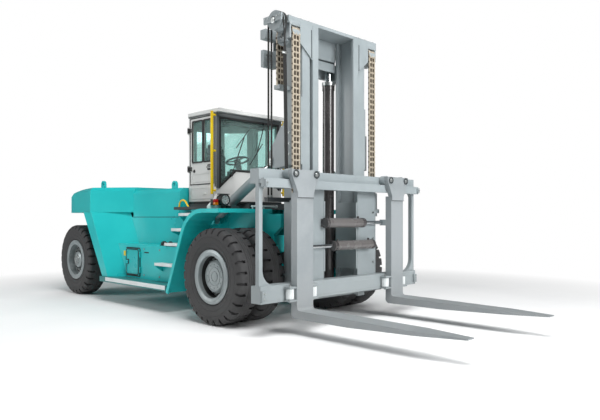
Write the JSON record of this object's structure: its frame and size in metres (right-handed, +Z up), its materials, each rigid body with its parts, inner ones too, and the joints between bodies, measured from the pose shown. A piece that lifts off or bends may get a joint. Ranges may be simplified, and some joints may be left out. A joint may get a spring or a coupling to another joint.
{
  "type": "heavy counterbalance forklift truck",
  "caption": "Heavy counterbalance forklift with twin front wheels, steered rear wheels, a glazed cab, a tilting two-stage mast and hydraulically positioned forks.",
  "frame": {"origin": "on the ground under the middle of the truck's overall box", "axes": "+X forward along the forks, +Y to the driver's left, +Z up"},
  "size_m": [9.542, 3.354, 4.333],
  "materials": {
    "paint_teal": "gloss",
    "paint_grey": "satin",
    "paint_dark": "satin",
    "paint_cab": "satin",
    "paint_yellow": "gloss",
    "paint_white": "satin",
    "rim_silver": "satin",
    "tyre_rubber": "matte",
    "hose_rubber": "matte",
    "chrome_rod": "polished",
    "chain_steel": "oiled",
    "cast_black": "matte",
    "cab_glass": "clear",
    "lamp_glass": "clear",
    "seat_cloth": "woven",
    "plastic_black": "textured"
  },
  "bodies": {
    "chassis": {"frame": "paint_teal", "belly_plate": "paint_teal", "counterweight": "paint_teal", "arch_panels": "paint_teal", "hood": "paint_teal", "engine": "cast_black", "side_boxes": "paint_teal", "running_boards": "paint_teal", "steps": "paint_white", "fenders": "paint_teal", "deck": "paint_dark", "cab_body": "paint_cab", "cab_roof": "paint_cab", "cab_windows": "cab_glass", "seat": "seat_cloth", "console": "plastic_black", "grab_rails": "paint_yellow", "headlamps": "paint_white", "lamp_lenses": "lamp_glass", "rear_grille": "paint_dark", "drive_axle": "cast_black", "steer_axle": "cast_black"},
    "wheel_front_right": {"tyres_front_right": "tyre_rubber", "rims_front_right": "rim_silver"},
    "wheel_front_left": {"tyres_front_left": "tyre_rubber", "rims_front_left": "rim_silver"},
    "knuckle_right": {"knuckle_right": "cast_black"},
    "knuckle_left": {"knuckle_left": "cast_black"},
    "wheel_rear_right": {"tyre_rear_right": "tyre_rubber", "rim_rear_right": "rim_silver"},
    "wheel_rear_left": {"tyre_rear_left": "tyre_rubber", "rim_rear_left": "rim_silver"},
    "outer_mast": {"outer_mast": "paint_grey", "tilt_brackets": "paint_grey", "hose_bracket": "paint_dark", "lift_barrels": "paint_dark", "chains_rear": "chain_steel", "hoses_rear": "hose_rubber"},
    "inner_mast": {"inner_mast": "paint_grey", "lift_rods": "chrome_rod", "chains_front": "chain_steel", "hoses_front": "hose_rubber"},
    "carriage": {"carriage_frame": "paint_grey", "carriage_columns": "paint_grey", "positioner_barrels": "paint_dark"},
    "fork_right": {"fork_right": "paint_grey", "fork_fittings_right": "paint_white"},
    "fork_left": {"fork_left": "paint_grey", "fork_fittings_left": "paint_white"},
    "tilt_barrels": {"tilt_barrels": "paint_grey"},
    "tilt_rods": {"tilt_rods": "chrome_rod"},
    "door_right": {"cab_door_right": "paint_cab", "door_glass_right": "cab_glass"},
    "door_left": {"cab_door_left": "paint_cab", "door_glass_left": "cab_glass"},
    "box_door": {"box_door": "paint_teal"}
  },
  "joints": [
    {"name": "wheel_front_right_spin", "type": "hinge", "parent": "chassis", "child": "wheel_front_right", "pos_m": [1.029, -1.13, 0.685], "axis": [0, 1, 0], "continuous": true},
    {"name": "wheel_front_left_spin", "type": "hinge", "parent": "chassis", "child": "wheel_front_left", "pos_m": [1.029, 1.13, 0.685], "axis": [0, 1, 0], "continuous": true},
    {"name": "steer_right", "type": "hinge", "parent": "chassis", "child": "knuckle_right", "pos_m": [-3.751, -0.93, 0.685], "axis": [0, 0, 1], "range_deg": [-50, 50]},
    {"name": "steer_left", "type": "hinge", "parent": "chassis", "child": "knuckle_left", "pos_m": [-3.751, 0.93, 0.685], "axis": [0, 0, 1], "range_deg": [-50, 50]},
    {"name": "wheel_rear_right_spin", "type": "hinge", "parent": "knuckle_right", "child": "wheel_rear_right", "pos_m": [-3.751, -1.16, 0.685], "axis": [0, 1, 0], "continuous": true},
    {"name": "wheel_rear_left_spin", "type": "hinge", "parent": "knuckle_left", "child": "wheel_rear_left", "pos_m": [-3.751, 1.16, 0.685], "axis": [0, 1, 0], "continuous": true},
    {"name": "mast_tilt", "type": "hinge", "parent": "chassis", "child": "outer_mast", "pos_m": [1.549, 0, 0.62], "axis": [0, 1, 0], "range_deg": [-10, 5]},
    {"name": "mast_lift", "type": "slide", "parent": "outer_mast", "child": "inner_mast", "axis": [0, 0, 1], "range_m": [-0.09, 2.15], "deforming": ["chains_rear", "hoses_rear"]},
    {"name": "carriage_lift", "type": "slide", "parent": "inner_mast", "child": "carriage", "axis": [0, 0, 1], "range_m": [-0.09, 2.15], "deforming": ["chains_front", "hoses_front"]},
    {"name": "fork_right_shift", "type": "slide", "parent": "carriage", "child": "fork_right", "axis": [0, -1, 0], "range_m": [-0.3, 0.27]},
    {"name": "fork_left_shift", "type": "slide", "parent": "carriage", "child": "fork_left", "axis": [0, 1, 0], "range_m": [-0.3, 0.27]},
    {"name": "tilt_barrel_swing", "type": "hinge", "parent": "chassis", "child": "tilt_barrels", "pos_m": [0.079, 0, 1.5], "axis": [0, 1, 0], "range_deg": [-5.6, 3.2]},
    {"name": "tilt_rod_stroke", "type": "slide", "parent": "tilt_barrels", "child": "tilt_rods", "axis": [0.8633, 0, 0.5047], "range_m": [-0.28, 0.145]},
    {"name": "cab_door_right_swing", "type": "hinge", "parent": "chassis", "child": "door_right", "pos_m": [-0.673, -0.74, 2.6], "axis": [0, 0, -1], "range_deg": [0, 95]},
    {"name": "cab_door_left_swing", "type": "hinge", "parent": "chassis", "child": "door_left", "pos_m": [-0.673, 0.74, 2.6], "axis": [0, 0, 1], "range_deg": [0, 95]},
    {"name": "box_door_swing", "type": "hinge", "parent": "chassis", "child": "box_door", "pos_m": [-1.541, -1.168, 0.735], "axis": [0, 0, 1], "range_deg": [0, 110]}
  ],
  "couplings": [
    {"joint": "steer_left", "follows": "steer_right", "ratio": 1},
    {"joint": "carriage_lift", "follows": "mast_lift", "ratio": 1},
    {"joint": "tilt_barrel_swing", "follows": "mast_tilt", "ratio": 0.4996},
    {"joint": "tilt_rod_stroke", "follows": "mast_tilt", "m_per_rad": 1.5182}
  ]
}
